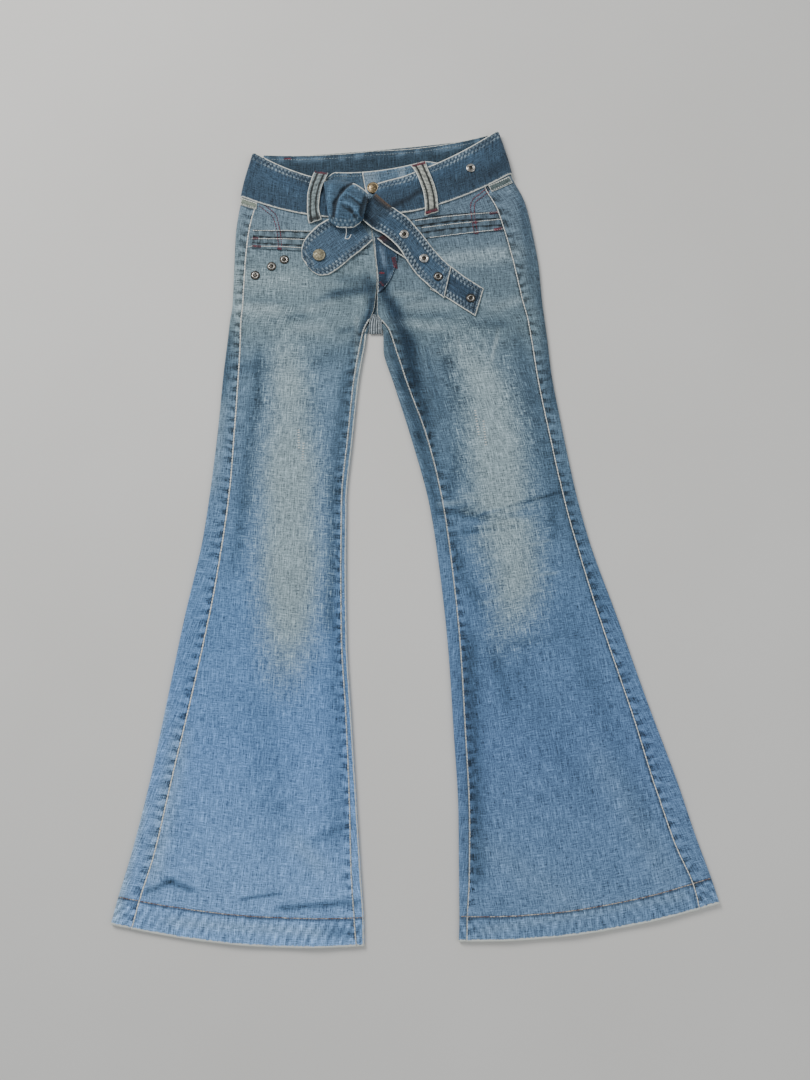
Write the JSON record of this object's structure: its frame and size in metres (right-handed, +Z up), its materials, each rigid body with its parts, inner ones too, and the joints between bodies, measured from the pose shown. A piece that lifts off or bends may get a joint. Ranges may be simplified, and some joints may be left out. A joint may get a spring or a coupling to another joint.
{
  "type": "flared jeans laid flat",
  "caption": "Long flared denim trousers laid flat, with a wide denim belt knotted at the front, its tab and punched tail lying on the hips.",
  "frame": {"origin": "on the floor, under the middle of the whole garment", "axes": "+Z up from the floor, +Y along the garment towards the waist, +X towards the wearer's left"},
  "size_m": [0.74, 1.0798, 0.028],
  "materials": {
    "denim": "washed mid-blue slub denim, faded pale on the thighs",
    "belt_denim": "darker blue denim, double, with worn pale edges",
    "seam_denim": "folded denim worn pale, with cream topstitching",
    "aged_brass": "aged, dull, worn at the rim",
    "steel": "nickel-plated, tarnished in the middle"
  },
  "bodies": {
    "root": {"front_right": "denim", "front_left": "denim", "back_right": "denim", "back_left": "denim", "fly_placket": "denim", "seat_seam": "seam_denim", "pocket_tucks_right": "denim", "pocket_tucks_left": "denim", "waistband_front_right": "belt_denim", "waistband_front_left": "belt_denim", "waistband_back": "belt_denim", "side_strip_right": "seam_denim", "side_strip_left": "seam_denim", "belt_back": "belt_denim", "belt_run_right": "belt_denim", "belt_run_left": "belt_denim", "belt_knot": "belt_denim", "belt_under_fold": "belt_denim", "belt_tab": "belt_denim", "belt_tail": "belt_denim", "belt_tail_end": "belt_denim", "belt_loop_right": "seam_denim", "belt_loop_left": "seam_denim", "waist_button": "aged_brass", "tab_snap": "aged_brass", "eyelet_tail_1": "steel", "eyelet_tail_2": "steel", "eyelet_tail_3": "steel", "eyelet_tail_4": "steel", "eyelet_belt": "steel", "eyelet_pocket_1": "steel", "eyelet_pocket_2": "steel", "eyelet_pocket_3": "steel"}
  },
  "joints": []
}
